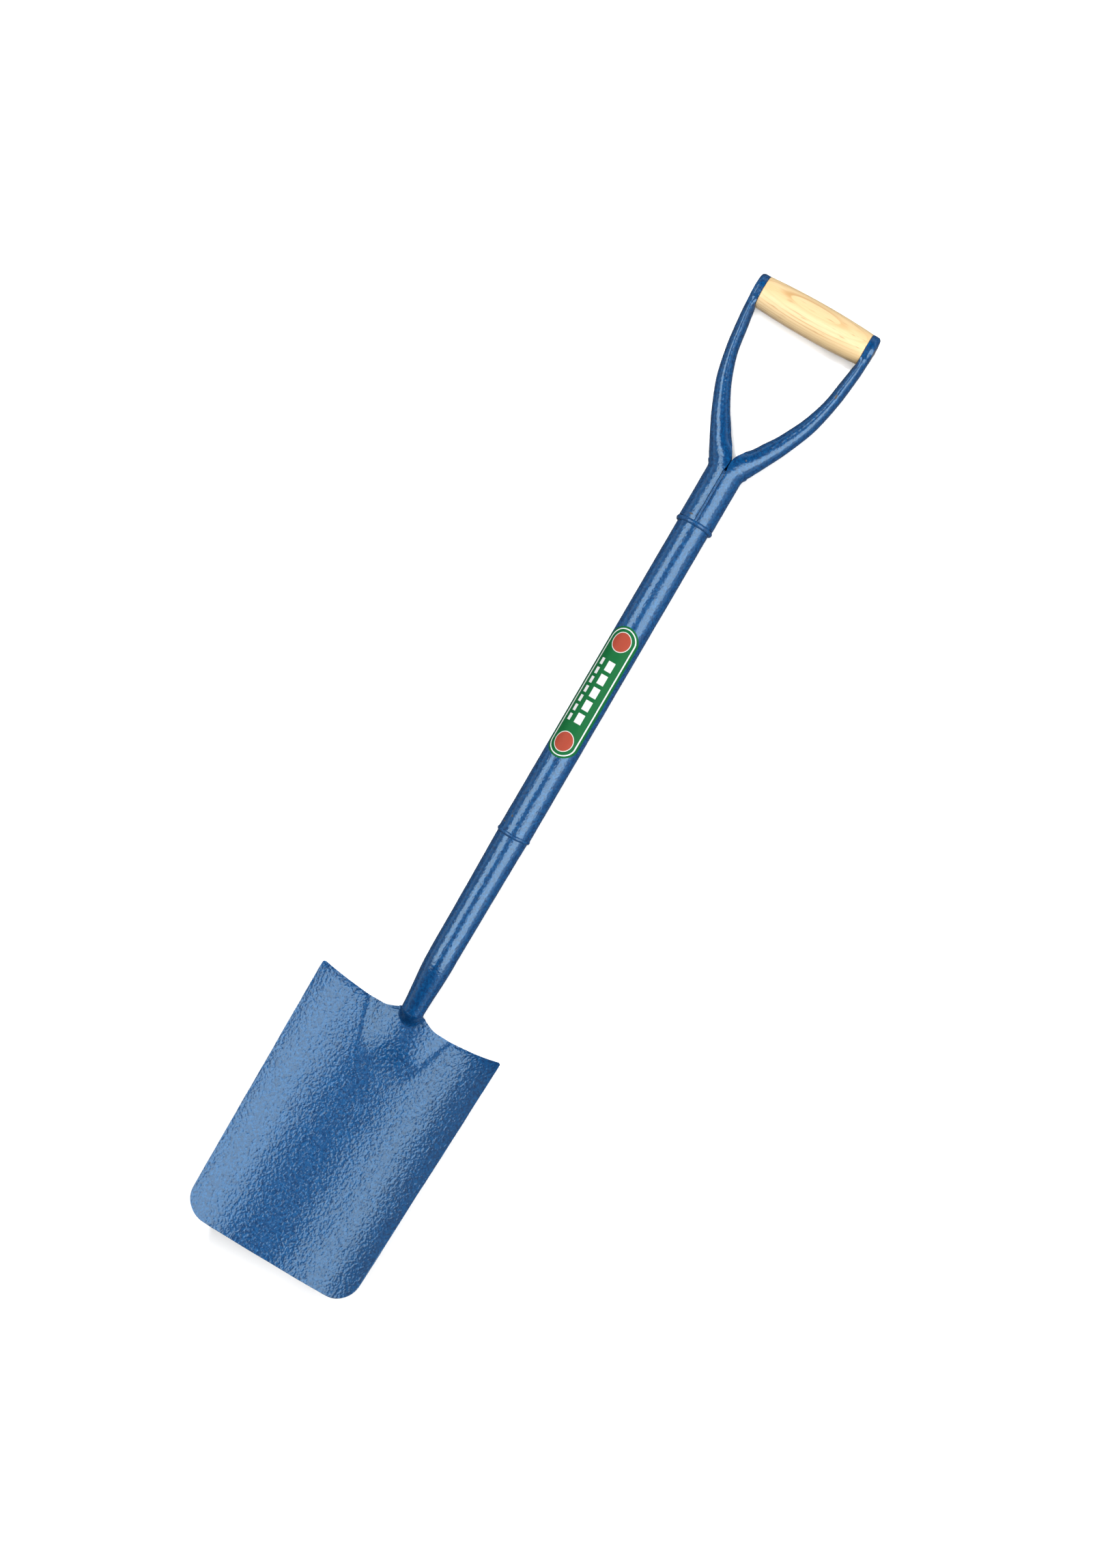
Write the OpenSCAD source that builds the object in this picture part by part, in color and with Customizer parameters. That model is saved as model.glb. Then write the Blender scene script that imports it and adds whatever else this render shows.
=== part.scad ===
// All-steel garden spade with a Y-shaped handle and a turned wooden grip.
// The tool is drawn along +X from the grip (X = 0) to the blade's tip, with its face up (+Z), and
// lie_down() then lays it on its back on the ground, with the origin under the middle of its box.

/* [Grip] */
// Length of wood that shows between the two ears
grip_len = 107.6; // [100:0.2:115]
// Diameter in the middle of the barrel
grip_mid_d = 35; // [33:0.5:37]
// Diameter at the ends of the barrel
grip_end_d = 31.2; // [30:0.2:32.4]
// Diameter of the steel rod through the grip
rod_d = 6; // [5:0.5:7]

/* [Handle] */
// Diameter of the round ears that hold the grip
ear_d = 31; // [30.6:0.2:32]
// Depth of an ear along the grip
ear_depth = 8.3; // [7:0.1:9]
// Thickness of the handle's sheet steel
handle_wall = 1.6; // [1.2:0.1:2]
// Outer diameter of the handle's socket
socket_d = 34.7; // [34.7:0.1:36]
// Distance from the grip to the crotch of the Y
crotch_x = 161; // [158:0.5:164]
// Distance from the grip to the end of the socket
socket_end_x = 214.5; // [205:0.5:225]

/* [Shaft] */
// Outer diameter of the shaft tube
shaft_d = 31.75; // [30.5:0.05:31.75]
// Wall of the shaft tube
shaft_wall = 1.4; // [1.2:0.1:1.6]
// Distance from the grip to the shaft tube's lower end
shaft_end_x = 545; // [500:1:580]

/* [Neck] */
// Outer diameter of the neck tube below the joint
neck_top_d = 30.3; // [29.5:0.1:30.5]
// Outer diameter where the neck starts to bend
neck_bend_d = 27.5; // [26:0.1:28.5]
// Outer diameter at the blade
neck_end_d = 21.6; // [21:0.1:22.6]
// Wall of the neck tube
neck_wall = 1.6; // [1.4:0.1:2]
// Angle at which the neck leans back below its bend
neck_lean = 17; // [15:0.5:18]

/* [Blade] */
// Width across the top corners
blade_top_w = 188.4; // [170:0.2:200]
// Width across the sides above the bottom corners
blade_tip_w = 174.4; // [160:0.2:190]
// Length of the blade along its face
blade_len = 258; // [230:1:290]
// Thickness of the blade's plate
blade_t = 2; // [1.6:0.1:2.6]
// Depth of the dish at the top edge
dish_top = 29; // [20:0.5:32]
// Depth of the dish at the tip
dish_tip = 22; // [15:0.5:25]
// Angle at which the blade lifts forward from the shaft's line
lift = 13; // [11:0.5:14]
// Radius of the bottom corners
tip_corner_r = 22; // [16:0.5:30]

/* [Label] */
// Length of the label
label_len = 135; // [100:1:150]
// Angle that the label covers around the shaft
label_angle = 124; // [90:1:140]

/* [Hidden] */
$fn = 64;

steel_blue = [0.16, 0.36, 0.62];
weld_blue = [0.13, 0.31, 0.56];
wood = [0.93, 0.80, 0.58];
bright_steel = [0.70, 0.70, 0.72];
label_green = [0.0, 0.42, 0.22];

// ---- curves and lofts

function smooth(x) = x <= 0 ? 0 : x >= 1 ? 1 : x * x * (3 - 2 * x);
function mix(a, b, f) = a + (b - a) * f;

// Row of a table of stations that holds x, where the first column is the place along the tool
function row_of(table, x) =
    min(len(table) - 2, max([0, for (j = [0:len(table) - 2]) if (table[j][0] <= x) j]));
function slope_of(table, j, k) =
    j == 0 || j == len(table) - 1 ? 0
    : (table[j + 1][k] - table[j - 1][k]) / (table[j + 1][0] - table[j - 1][0]);
// Column k of the table at x, on a smooth curve that is level at both ends
function along(table, x, k) =
    let (
        j = row_of(table, x),
        h = table[j + 1][0] - table[j][0],
        f = max(0, min(1, (x - table[j][0]) / h)),
        s = f * f * (3 - 2 * f)
    )
    mix(table[j][k], table[j + 1][k], s)
    + h * slope_of(table, j, k) * f * (1 - f) * (1 - f)
    - h * slope_of(table, j + 1, k) * f * f * (1 - f);

// Sheet of metal: each section lists its outer points and then its inner points backwards
module sheet_loft(sections) {
    n = len(sections);
    m = len(sections[0]);
    half = m / 2;
    points = [for (s = sections) each s];
    sides = [for (i = [0:n - 2], j = [0:m - 1]) let (k = (j + 1) % m) each [
        [i * m + j, i * m + k, (i + 1) * m + k],
        [i * m + j, (i + 1) * m + k, (i + 1) * m + j]]];
    cap = [for (j = [0:half - 2]) let (a = j, b = j + 1, c = m - 2 - j, d = m - 1 - j) each [
        [a, c, b], [a, d, c]]];
    far_cap = [for (f = cap) [for (q = [2:-1:0]) f[q] + (n - 1) * m]];
    polyhedron(points = points, faces = concat(sides, cap, far_cap), convexity = 8);
}

// Tube: an outer and an inner list of rings
module tube_loft(outer, inner) {
    n = len(outer);
    m = len(outer[0]);
    base = n * m;
    points = concat([for (s = outer) each s], [for (s = inner) each s]);
    skin = [for (i = [0:n - 2], j = [0:m - 1]) let (k = (j + 1) % m) each [
        [i * m + j, i * m + k, (i + 1) * m + k],
        [i * m + j, (i + 1) * m + k, (i + 1) * m + j]]];
    bore = [for (f = skin) [f[2] + base, f[1] + base, f[0] + base]];
    rim = [for (j = [0:m - 1]) let (k = (j + 1) % m) each [
        [j, base + j, base + k], [j, base + k, k]]];
    far = (n - 1) * m;
    far_rim = [for (f = rim) [for (q = [2:-1:0]) f[q] + far]];
    polyhedron(points = points, faces = concat(skin, bore, rim, far_rim), convexity = 8);
}

// Closed solid through rings
module solid_loft(rings) {
    n = len(rings);
    m = len(rings[0]);
    sides = [for (i = [0:n - 2], j = [0:m - 1]) let (k = (j + 1) % m) each [
        [i * m + j, i * m + k, (i + 1) * m + k],
        [i * m + j, (i + 1) * m + k, (i + 1) * m + j]]];
    near = [for (j = [1:m - 2]) [0, j + 1, j]];
    far = [for (f = near) [for (q = [2:-1:0]) f[q] + (n - 1) * m]];
    polyhedron(points = [for (r = rings) each r], faces = concat(sides, near, far), convexity = 6);
}

// ---- blade, as a function of the distance t down its face and the distance v to the side

blade_x = 736.5;
blade_z = -43;
frog_h = 15;
frog_len = 70;
frog_half_w = 48;
frog_tip_w = 26;
frog_fillet = 0.86; // side fraction at which the raised part starts to run out
top_corner_r = 3;
top_bow = 4.6;  // how far the top edge sinks in the middle
top_rise = 1.2; // how far its corners stand above the flat line's start
tang_h = 8.4;   // how far the plate runs up under the neck
tang_flat = 7;
tang_w = 28;

function half_w(t) = mix(blade_top_w, blade_tip_w, t / (blade_len - tip_corner_r)) / 2;
function dish(t, v) =
    let (x = v / half_w(t), d = mix(dish_top, dish_tip, t / blade_len))
    d * (0.7 * x * x + 0.3 * pow(x, 4));
function frog_side(x) = x < frog_fillet ? 1 - x * x / frog_fillet : pow(1 - x, 2) / (1 - frog_fillet);
function frog(t, v) =
    let (f = max(0, 1 - max(t, 0) / frog_len), b = mix(frog_tip_w, frog_half_w, f), x = min(1, abs(v) / b))
    frog_h * f * smooth(f * 1.6) * frog_side(x);
// Point at height h above the blade's flat line
function on_blade(t, v, h) =
    [blade_x + t * cos(lift) - h * sin(lift), v, blade_z + t * sin(lift) + h * cos(lift)];
function face_h(t, v) = dish(t, v) + frog(t, v);

// Rounded outline: top and bottom of the blade at the side fraction c
function corner_drop(gap, r) = gap >= r ? 0 : r - sqrt(r * r - pow(r - gap, 2));
function tang(v) = tang_h * pow(max(0, 1 - max(0, abs(v) - tang_flat) / (tang_w - tang_flat)), 1.5);
function top_line(v) = top_bow * (1 - pow(v * 2 / blade_top_w, 2)) - top_rise - tang(v);
function top_t(c) =
    corner_drop((1 - abs(c)) * blade_top_w / 2, top_corner_r) + top_line(c * blade_top_w / 2);
function tip_t(c) = blade_len - corner_drop((1 - abs(c)) * blade_tip_w / 2, tip_corner_r);

corner_c = 1 - 2 * tip_corner_r / blade_tip_w;
half_columns = concat(
    [0, 4, 8, 12, 17, 22, 28, 35, 42, 50, 58] / (blade_top_w / 2),
    [for (a = [0:15:75]) corner_c + (1 - corner_c) * sin(a)],
    [1 - 1.2 / 94, 1 - 0.3 / 94, 1]
);
columns = concat([for (i = [len(half_columns) - 1:-1:1]) -half_columns[i]], half_columns);
rows = concat([0, 0.012], [for (i = [1:8]) i * 0.03], [for (i = [1:12]) 0.24 + i * 0.76 / 12]);

function blade_section(f) =
    let (ts = [for (c = columns) mix(top_t(c), tip_t(c), f)])
    concat(
        [for (i = [0:len(columns) - 1]) let (t = ts[i], v = columns[i] * half_w(t))
            on_blade(t, v, face_h(t, v))],
        [for (i = [len(columns) - 1:-1:0]) let (t = ts[i], v = columns[i] * half_w(t))
            on_blade(t, v, face_h(t, v) - blade_t)]
    );
blade_sections = [for (f = rows) blade_section(f)];

// ---- neck, as a centre line that bends back

bend_x = 660;
bend_r = 90;
neck_end_x = 729;
taper_x = 675;
taper_len = 58;
spigot_r = 14.4;
spigot_len = 45;
ring_n = 28;

bend_dx = bend_r * sin(neck_lean);
bend_dz = bend_r * (1 - cos(neck_lean));
function lean_at(x) = x <= bend_x ? 0 : x >= bend_x + bend_dx ? neck_lean : asin((x - bend_x) / bend_r);
function neck_z(x) =
    x <= bend_x ? 0
    : x >= bend_x + bend_dx ? -bend_dz - (x - bend_x - bend_dx) * tan(neck_lean)
    : -bend_r * (1 - cos(lean_at(x)));
function neck_r(x) =
    let (f = min(1, (x - shaft_end_x) / (taper_x - shaft_end_x)))
    mix(mix(neck_top_d, neck_bend_d, f * (1.5 - 0.5 * f)), neck_end_d, smooth((x - taper_x) / taper_len)) / 2;
// Ring of radius r, square to the neck's centre line at x
function neck_ring(x, r, n) =
    let (a = lean_at(x))
    [for (i = [0:n - 1]) let (q = 360 * i / n)
        [x + r * sin(q) * sin(a), r * cos(q), neck_z(x) + r * sin(q) * cos(a)]];

neck_xs = concat([shaft_end_x + 0.1, 580, 620, bend_x], [for (i = [1:11]) bend_x + i * 6], [neck_end_x]);
spigot_xs = [shaft_end_x - spigot_len, shaft_end_x];

// ---- handle: sheet that starts as half of the socket and rolls up into an arm

// Place along the tool, centre of the section, half width, half depth, half of the angle it wraps
arm_stations = [
    [10, 57.6, 5.0, 11.9, 174],
    [38, 54.9, 5.8, 11.3, 174],
    [63, 51.1, 6.1, 10.8, 174],
    [88, 43.9, 7.4, 10.2, 174],
    [113, 32.6, 8.6, 10.0, 172],
    [125.4, 25.6, 9.6, 10.6, 168],
    [138, 18.2, 10.5, 12.2, 152],
    [151, 6.3, 15.3, 15.2, 111],
    [crotch_x + 4, 0, socket_d / 2, socket_d / 2, 87.3]
];
arm_columns = 16;
arm_xs = concat([for (i = [0:12]) 6 + i * 8], [for (i = [1:13]) 102 + i * 4.8], [socket_end_x]);

function arm_point(x, q, inset) =
    let (
        slope = (along(arm_stations, x + 0.5, 1) - along(arm_stations, x - 0.5, 1)),
        turn = atan(slope) * (x > crotch_x + 4 ? 0 : 1),
        out = (along(arm_stations, x, 2) - inset) * cos(q),
        up = (along(arm_stations, x, 3) - inset) * sin(q)
    )
    [x - out * sin(turn), along(arm_stations, x, 1) + out * cos(turn), up];
function arm_section(x) =
    let (wrap = along(arm_stations, x, 4))
    concat(
        [for (j = [0:arm_columns]) arm_point(x, mix(wrap, -wrap, j / arm_columns), 0)],
        [for (j = [arm_columns:-1:0]) arm_point(x, mix(wrap, -wrap, j / arm_columns), handle_wall)]
    );

// ---- how the tool lies: tilted until the barrel of the grip and the blade's back touch the ground

grip_r = grip_mid_d / 2;
function tangent_tilt(p) = atan2(p[2], p[0]) + asin(grip_r / norm([p[0], p[2]]));
blade_points = [for (s = blade_sections) each s];
ground_tilt = min([for (p = blade_points) tangent_tilt(p)]);
function laid_x(p) = p[0] * cos(ground_tilt) + p[2] * sin(ground_tilt);
tip_reach = max([for (p = blade_points) laid_x(p)]);
mid_x = (tip_reach - grip_r) / 2;

module lie_down() {
    translate([-mid_x, 0, grip_r]) rotate([0, ground_tilt, 0]) children();
}

// Turns a shape made around Z so that it lies around X, or around Y
module around_x(x) {
    translate([x, 0, 0]) rotate([0, 90, 0]) children();
}
module around_y() {
    rotate([-90, 0, 0]) children();
}

// ---- blade and neck

module blade() {
    color(steel_blue) lie_down() sheet_loft(blade_sections);
}

// The tube, with a thinner spigot at its upper end that goes up inside the shaft tube
module neck_tube() {
    color(steel_blue) lie_down() tube_loft(
        concat(
            [for (x = spigot_xs) neck_ring(x, spigot_r, ring_n)],
            [for (x = neck_xs) neck_ring(x, neck_r(x), ring_n)]
        ),
        concat(
            [for (x = spigot_xs) neck_ring(x, spigot_r - neck_wall, ring_n)],
            [for (x = neck_xs) neck_ring(x, min(spigot_r, neck_r(x)) - neck_wall, ring_n)]
        )
    );
}

// The weld that closes the neck's end and flares out on to the blade: each line of it leaves along
// the neck and lands flat on the blade, and its bed follows the face of the blade
weld_half_w = 14;
weld_mid_t = -1.5;
weld_reach = 16;
weld_back = 2.4;
weld_steps = 8;
bed_steps = 4;
bed_depth = 0.2;

function hermite(p, tp, q, tq, f) =
    (2 * pow(f, 3) - 3 * f * f + 1) * p + (pow(f, 3) - 2 * f * f + f) * tp
    + (3 * f * f - 2 * pow(f, 3)) * q + (pow(f, 3) - f * f) * tq;
// Point of the foot at the angle q, where size 1 is its outline and size 0 its middle
function weld_foot(q, size, h) =
    let (
        t = weld_mid_t + size * sin(q) * (sin(q) > 0 ? weld_reach : weld_back),
        v = size * weld_half_w * cos(q)
    )
    on_blade(t, v, face_h(t, v) + h);
function weld_line(i, f) =
    let (
        q = 360 * i / ring_n,
        start = neck_ring(neck_end_x, neck_r(neck_end_x), ring_n)[i],
        foot = weld_foot(q, 1, 0),
        pull = norm(foot - start),
        along_neck = [cos(neck_lean), 0, -sin(neck_lean)] * pull * mix(0.3, 1, max(0, sin(q))),
        over_blade = [cos(lift) * max(0, sin(q)), cos(q), sin(lift) * max(0, sin(q))] * pull
    )
    hermite(start, along_neck, foot, over_blade, f);

module neck_weld() {
    skin = [for (k = [0:weld_steps]) [for (i = [0:ring_n - 1]) weld_line(i, k / weld_steps)]];
    bed = [for (k = [1:bed_steps]) [for (i = [0:ring_n - 1])
        weld_foot(360 * i / ring_n, 1 - k / (bed_steps + 0.5), -bed_depth)]];
    color(weld_blue) lie_down() solid_loft(concat(skin, bed));
}

// Bead along the back of the blade's top edge
edge_bead_r = 2;
edge_bead_half_w = 22;

function edge_bead_point(q, v, r) =
    let (t = top_line(v))
    on_blade(t + r * (cos(q) + 1), v, face_h(t, v) - blade_t + r * (sin(q) + 0.2));

module edge_weld() {
    color(weld_blue) lie_down() solid_loft([
        for (k = [-6:6])
            let (v = k * edge_bead_half_w / 6, r = edge_bead_r * (abs(k) == 6 ? 0.4 : 1))
            [for (i = [0:9]) let (q = 36 * i)
                edge_bead_point(q, v, r)]
    ]);
}

// ---- shaft and its welded collars

collar_len = 6.4;
lower_bead_r = 2.55;
upper_bead_r = 2.7;
cut = 8;

// Ring of weld metal: a bead of radius bead_r on a short sleeve
module collar(sleeve_r, bead_r, bead_centre_r, bead_at) {
    rotate_extrude() union() {
        square([sleeve_r, collar_len]);
        translate([bead_centre_r, bead_at]) circle(r = bead_r);
    }
}

// Fills the step from the shaft tube down to the neck
module lower_collar_weld() {
    color(weld_blue) lie_down() difference() {
        around_x(shaft_end_x - collar_len / 2)
            collar(shaft_d / 2 + 0.2, lower_bead_r, shaft_d / 2 - 1.9, 1.6);
        around_x(shaft_end_x - cut) cylinder(d = shaft_d, h = cut);
        around_x(shaft_end_x - 1) cylinder(d = neck_top_d, h = cut);
    }
}

module shaft_tube() {
    shaft_start = socket_end_x - 45;
    color(steel_blue) lie_down() difference() {
        around_x(shaft_start) cylinder(d = shaft_d, h = shaft_end_x - shaft_start);
        around_x(shaft_start - 1) cylinder(d = shaft_d - 2 * shaft_wall, h = shaft_end_x - shaft_start + 2);
    }
}

// Fills the step from the handle's socket down to the shaft tube
module upper_collar_weld() {
    color(weld_blue) lie_down() difference() {
        around_x(socket_end_x) collar(socket_d / 2 - 0.4, upper_bead_r, shaft_d / 2 - 0.2, 2.5);
        around_x(socket_end_x - cut) cylinder(d = shaft_d, h = 2 * cut);
        around_x(socket_end_x - cut) cylinder(d = socket_d + cut, h = cut);
    }
}

// Sticker: a thin shell on the shaft with round ends, turned a little to the left
label_x = 395.5;
label_turn = 9;
label_t = 0.15;

module label() {
    r = shaft_d / 2;
    end_r = r * sin(label_angle / 2);
    straight = label_len - 2 * end_r;
    color(label_green) lie_down() around_x(label_x) rotate([0, 0, label_turn]) difference() {
        intersection() {
            translate([0, 0, -label_len / 2]) cylinder(r = r + label_t, h = label_len);
            rotate([0, -90, 0]) linear_extrude(r + 1) union() {
                square([straight, 2 * end_r], center = true);
                for (s = [-1, 1]) translate([s * straight / 2, 0]) circle(r = end_r);
            }
        }
        translate([0, 0, -label_len / 2 - 1]) cylinder(r = r, h = label_len + 2);
    }
}

// ---- handle

grip_half = grip_len / 2;
ear_in = grip_half + 0.25;
ear_out = ear_in + ear_depth;
ear_round = 3.4;
tenon_r = 12.6;
tenon_len = 5.6;
play = 0.3;

module ear() {
    translate([0, ear_in, 0]) around_y() rotate_extrude() union() {
        square([ear_d / 2 - ear_round, ear_depth]);
        square([ear_d / 2, ear_depth - ear_round]);
        translate([ear_d / 2 - ear_round, ear_depth - ear_round]) circle(r = ear_round);
    }
}

module handle_half() {
    difference() {
        union() {
            ear();
            sheet_loft([for (x = arm_xs) arm_section(x)]);
        }
        // Room for the barrel, the tenon's cup, the hole for the rod, and a flat outer side
        translate([0, ear_in - cut, 0]) around_y() cylinder(d = ear_d + 0.6, h = cut);
        translate([0, ear_in - 1, 0]) around_y() cylinder(r = tenon_r + play, h = tenon_len + 1 + play);
        translate([0, ear_in - 1, 0]) around_y() cylinder(d = rod_d + play, h = ear_depth + 2);
        translate([0, ear_out, -ear_d]) cube([crotch_x, cut, 2 * ear_d]);
    }
}

module handle_half_right() {
    color(steel_blue) lie_down() handle_half();
}
module handle_half_left() {
    color(steel_blue) lie_down() mirror([0, 1, 0]) handle_half();
}

// Weld that runs down the gap between the two halves of the socket
seam_w = 1.5;
seam_bead_r = 1.5;
module seam_weld() {
    start = crotch_x + 1.5;
    around_x(start) linear_extrude(socket_end_x - start) union() {
        difference() {
            translate([-socket_d / 2 + 0.7, 0]) circle(r = seam_bead_r);
            circle(d = socket_d);
        }
        translate([-socket_d / 2, -seam_w / 2]) square([handle_wall, seam_w]);
    }
}

module seam_weld_front() {
    color(weld_blue) lie_down() seam_weld();
}
module seam_weld_back() {
    color(weld_blue) lie_down() mirror([0, 0, 1]) seam_weld();
}

module grip() {
    steps = 12;
    profile = concat(
        [[rod_d / 2 + 0.1, -grip_half - tenon_len], [tenon_r, -grip_half - tenon_len], [tenon_r, -grip_half],
            [grip_end_d / 2 - 0.6, -grip_half]],
        [for (i = [0:steps]) let (f = 2 * i / steps - 1)
            [mix(grip_mid_d, grip_end_d, f * f) / 2, f * (grip_half - 0.6)]],
        [[grip_end_d / 2 - 0.6, grip_half], [tenon_r, grip_half], [tenon_r, grip_half + tenon_len],
            [rod_d / 2 + 0.1, grip_half + tenon_len]]
    );
    color(wood) lie_down() around_y() rotate_extrude() polygon(profile);
}

module grip_rod() {
    color(bright_steel) lie_down() translate([0, -ear_out, 0]) around_y()
        cylinder(d = rod_d, h = 2 * ear_out);
}

head_r = 4.6;
head_h = 0.9;
module rivet_head() {
    dome = [for (a = [0:10:90]) [head_r * sin(a), head_h * cos(a)]];
    translate([0, ear_out, 0]) around_y() rotate_extrude() polygon(concat([[0, 0]], dome));
}

module rivet_head_right() {
    color(bright_steel) lie_down() rivet_head();
}
module rivet_head_left() {
    color(bright_steel) lie_down() mirror([0, 1, 0]) rivet_head();
}

blade();
neck_weld();
edge_weld();
neck_tube();
lower_collar_weld();
shaft_tube();
label();
upper_collar_weld();
handle_half_left();
handle_half_right();
seam_weld_front();
seam_weld_back();
grip();
grip_rod();
rivet_head_left();
rivet_head_right();
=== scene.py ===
"""Garden spade: the visible model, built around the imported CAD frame."""
import math

import bmesh
import bpy
from mathutils import Matrix, Vector, noise


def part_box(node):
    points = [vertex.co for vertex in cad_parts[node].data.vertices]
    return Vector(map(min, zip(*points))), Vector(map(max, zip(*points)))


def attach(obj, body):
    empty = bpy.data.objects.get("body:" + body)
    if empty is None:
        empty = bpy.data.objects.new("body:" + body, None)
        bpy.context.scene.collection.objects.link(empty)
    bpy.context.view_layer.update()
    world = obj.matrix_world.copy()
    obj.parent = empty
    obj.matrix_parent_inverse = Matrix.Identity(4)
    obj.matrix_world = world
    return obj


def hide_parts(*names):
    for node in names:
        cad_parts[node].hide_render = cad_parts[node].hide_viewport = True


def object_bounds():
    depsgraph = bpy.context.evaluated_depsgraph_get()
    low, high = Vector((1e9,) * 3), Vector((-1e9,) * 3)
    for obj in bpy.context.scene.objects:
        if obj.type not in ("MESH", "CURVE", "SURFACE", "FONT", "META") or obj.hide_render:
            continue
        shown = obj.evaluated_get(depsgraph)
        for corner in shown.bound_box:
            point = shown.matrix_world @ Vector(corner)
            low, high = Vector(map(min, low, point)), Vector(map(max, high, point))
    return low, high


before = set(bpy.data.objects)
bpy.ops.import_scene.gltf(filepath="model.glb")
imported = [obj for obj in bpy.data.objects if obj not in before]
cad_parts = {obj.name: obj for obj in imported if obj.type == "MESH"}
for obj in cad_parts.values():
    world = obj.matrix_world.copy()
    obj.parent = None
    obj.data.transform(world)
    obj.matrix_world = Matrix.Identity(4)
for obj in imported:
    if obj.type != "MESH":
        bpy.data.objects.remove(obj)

cad_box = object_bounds()

# ---------------------------------------------------------------- the tool's own frame, in mm


def centre(node):
    lo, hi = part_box(node)
    return (lo + hi) / 2


def tool_matrix():
    """From the tool's frame in mm (X from the grip to the blade, Z out of the face) to the row frame."""
    origin = centre("grip")
    along = (centre("shaft_tube") - origin).normalized()
    side = Vector((0, 1, 0))
    turn = Matrix((along, side, along.cross(side))).transposed().to_4x4()
    return Matrix.Translation(origin) @ turn @ Matrix.Scale(0.001, 4)


TOOL = tool_matrix()
BOX_GAP = 0.00002  # how far the pieces stay inside the CAD model's box, in metres

# Sizes of the CAD nodes, in mm
GRIP_HALF, GRIP_MID_R, GRIP_END_R, TENON_R, TENON_LEN = 53.8, 17.5, 15.6, 12.6, 5.6
EAR_R, EAR_IN, EAR_OUT, EAR_ROUND = 15.5, 54.05, 62.35, 3.4
HANDLE_WALL, SOCKET_R, CROTCH_X, SOCKET_END = 1.6, 17.35, 161.0, 214.5
SHAFT_R, SHAFT_WALL, SHAFT_START, SHAFT_END = 15.875, 1.4, 169.5, 545.0
NECK_TOP_R, NECK_BEND_R, NECK_END_R, NECK_WALL = 15.15, 13.75, 10.8, 1.6
NECK_LEAN, BEND_X, BEND_R, NECK_END = math.radians(17), 660.0, 90.0, 729.0
TAPER_X, TAPER_LEN = 675.0, 58.0
BLADE_X, BLADE_Z, BLADE_LEN, BLADE_T = 736.5, -43.0, 258.0, 2.0
TOP_W, TIP_W, DISH_TOP, DISH_TIP = 188.4, 174.4, 29.0, 22.0
LIFT, TIP_CORNER, TOP_CORNER = math.radians(13), 22.0, 3.0
FROG_H, FROG_LEN, FROG_HALF_W, FROG_TIP_W, FROG_FILLET = 15.0, 70.0, 48.0, 26.0, 0.78
TOP_BOW, TOP_RISE, TANG_H, TANG_FLAT, TANG_W = 4.6, 1.2, 8.4, 7.0, 28.0
WELD_HALF_W, WELD_MID_T, WELD_REACH, WELD_BACK = 14, -1.5, 16, 2.4
EDGE_BEAD_HALF, EDGE_BEAD_R = 22, 2.0
LABEL_X, LABEL_LEN, LABEL_HALF, LABEL_TURN = 395.5, 135.0, math.radians(62), math.radians(9)


def mix(a, b, f):
    return a + (b - a) * f


def smooth(x):
    x = min(1.0, max(0.0, x))
    return x * x * (3 - 2 * x)


def along(table, x, k):
    """Column k of the stations at x, on a smooth curve that is level at both ends."""
    last = len(table) - 2
    j = max([0] + [i for i in range(last + 1) if table[i][0] <= x])

    def slope(i):
        if i in (0, len(table) - 1):
            return 0.0
        return (table[i + 1][k] - table[i - 1][k]) / (table[i + 1][0] - table[i - 1][0])

    h = table[j + 1][0] - table[j][0]
    f = min(1.0, max(0.0, (x - table[j][0]) / h))
    s = f * f * (3 - 2 * f)
    return (mix(table[j][k], table[j + 1][k], s) + h * slope(j) * f * (1 - f) ** 2
            - h * slope(j + 1) * f * f * (1 - f))


# ---------------------------------------------------------------- meshes


def strip(a, b, m, wrap, flip=False):
    """Quads between two rows of m points that start at the indices a and b."""
    out = []
    for j in range(m if wrap else m - 1):
        k = (j + 1) % m
        quad = (a + j, a + k, b + k, b + j)
        out.append(quad[::-1] if flip else quad)
    return out


def loft(rings, wrap=True, caps=(True, True)):
    """A skin through rings of equal length, with flat ends."""
    m = len(rings[0])
    verts = [p for r in rings for p in r]
    faces = [q for i in range(len(rings) - 1) for q in strip(i * m, (i + 1) * m, m, wrap)]
    if caps[0]:
        faces.append(tuple(range(m))[::-1])
    if caps[1]:
        start = (len(rings) - 1) * m
        faces.append(tuple(range(start, start + m)))
    return verts, faces


def circle_x(x, r, n):
    """Ring of radius r around the X axis."""
    return [(x, r * math.sin(2 * math.pi * i / n), r * math.cos(2 * math.pi * i / n)) for i in range(n)]


def closed_tube(profile, n=96):
    """A ring-shaped solid around X from a closed profile of (x, r)."""
    rings = [circle_x(x, r, n) for x, r in profile]
    rings.append(rings[0])
    return loft(rings, caps=(False, False))


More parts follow.
